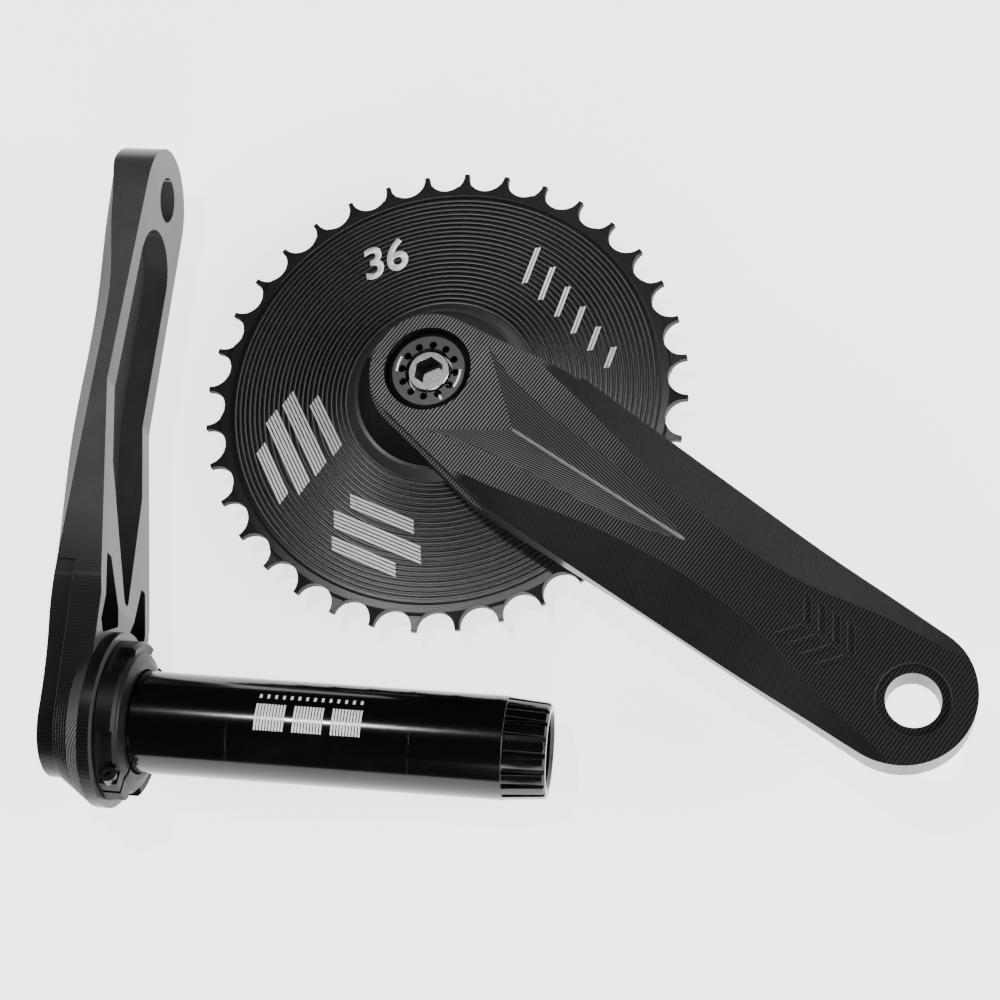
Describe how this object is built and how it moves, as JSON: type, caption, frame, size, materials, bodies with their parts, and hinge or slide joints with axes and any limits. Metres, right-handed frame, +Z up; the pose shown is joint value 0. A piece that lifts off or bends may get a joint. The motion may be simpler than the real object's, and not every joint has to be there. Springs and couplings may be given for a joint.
{
  "type": "bicycle crankset",
  "caption": "Bicycle crankset lying in two halves: a chain-side arm with a chainring and a captive bolt, and a left arm with a hollow spindle and a bearing adjuster.",
  "frame": {"origin": "bottom centre of the laid-out set's bounding box, on the surface it lies on", "axes": "+Z up from the surface, +X along the longest side of the layout, about along the spindle towards its free end, +Y along the left arm towards its pedal end"},
  "size_m": [0.2576, 0.2122, 0.0501],
  "materials": {
    "arm_black": "black anodised, machined",
    "ring_black": "black anodised, turned",
    "spindle_black": "polished black anodised",
    "cap_grey": "satin dark grey anodised",
    "bolt_silver": "brushed",
    "washer_steel": "plain",
    "washer_nylon": "matte",
    "collar_plastic": "satin black moulding",
    "screw_black": "black oxide",
    "seal_rubber": "matte"
  },
  "bodies": {
    "drive_half": {"drive_arm": "arm_black", "chainring": "ring_black", "chainring_bolt_1": "screw_black", "chainring_bolt_2": "screw_black", "chainring_bolt_3": "screw_black", "bolt_washer": "washer_steel", "extractor_washer": "washer_nylon", "extractor_cap": "cap_grey"},
    "crank_bolt": {"crank_bolt": "bolt_silver"},
    "left_half": {"left_arm": "arm_black", "spindle": "spindle_black", "left_bolt_washer": "washer_steel", "left_extractor_washer": "washer_nylon", "left_extractor_cap": "cap_grey"},
    "left_bolt": {"left_bolt": "bolt_silver"},
    "adjuster_seal": {"adjuster_seal": "seal_rubber"},
    "preload_adjuster": {"preload_adjuster": "collar_plastic"},
    "adjuster_pinch_screw": {"adjuster_pinch_screw": "screw_black"}
  },
  "joints": [
    {"name": "crank_bolt_turn", "type": "hinge", "parent": "drive_half", "child": "crank_bolt", "pos_m": [-0.01958, 0.01997, 0.018], "axis": [0, 0, 1], "continuous": true},
    {"name": "left_half_lift", "type": "slide", "parent": "drive_half", "child": "left_half", "axis": [0, 0, 1], "range_m": [0, 0.12]},
    {"name": "left_bolt_turn", "type": "hinge", "parent": "left_half", "child": "left_bolt", "pos_m": [-0.11619, -0.0805, 0.02559], "axis": [-0.9917, 0.0885, 0.0931], "continuous": true},
    {"name": "adjuster_travel", "type": "slide", "parent": "left_half", "child": "adjuster_seal", "axis": [0.9917, -0.0885, -0.0931], "range_m": [0, 0.003]},
    {"name": "adjuster_turn", "type": "hinge", "parent": "adjuster_seal", "child": "preload_adjuster", "pos_m": [-0.10528, -0.08147, 0.02457], "axis": [0.9917, -0.0885, -0.0931], "range_deg": [0, 360]},
    {"name": "pinch_screw_turn", "type": "hinge", "parent": "preload_adjuster", "child": "adjuster_pinch_screw", "pos_m": [-0.10617, -0.10116, 0.03167], "axis": [0.1175, 0.3323, 0.9358], "continuous": true}
  ],
  "couplings": [
    {"joint": "adjuster_travel", "follows": "adjuster_turn", "m_per_rad": 0.00047746}
  ]
}
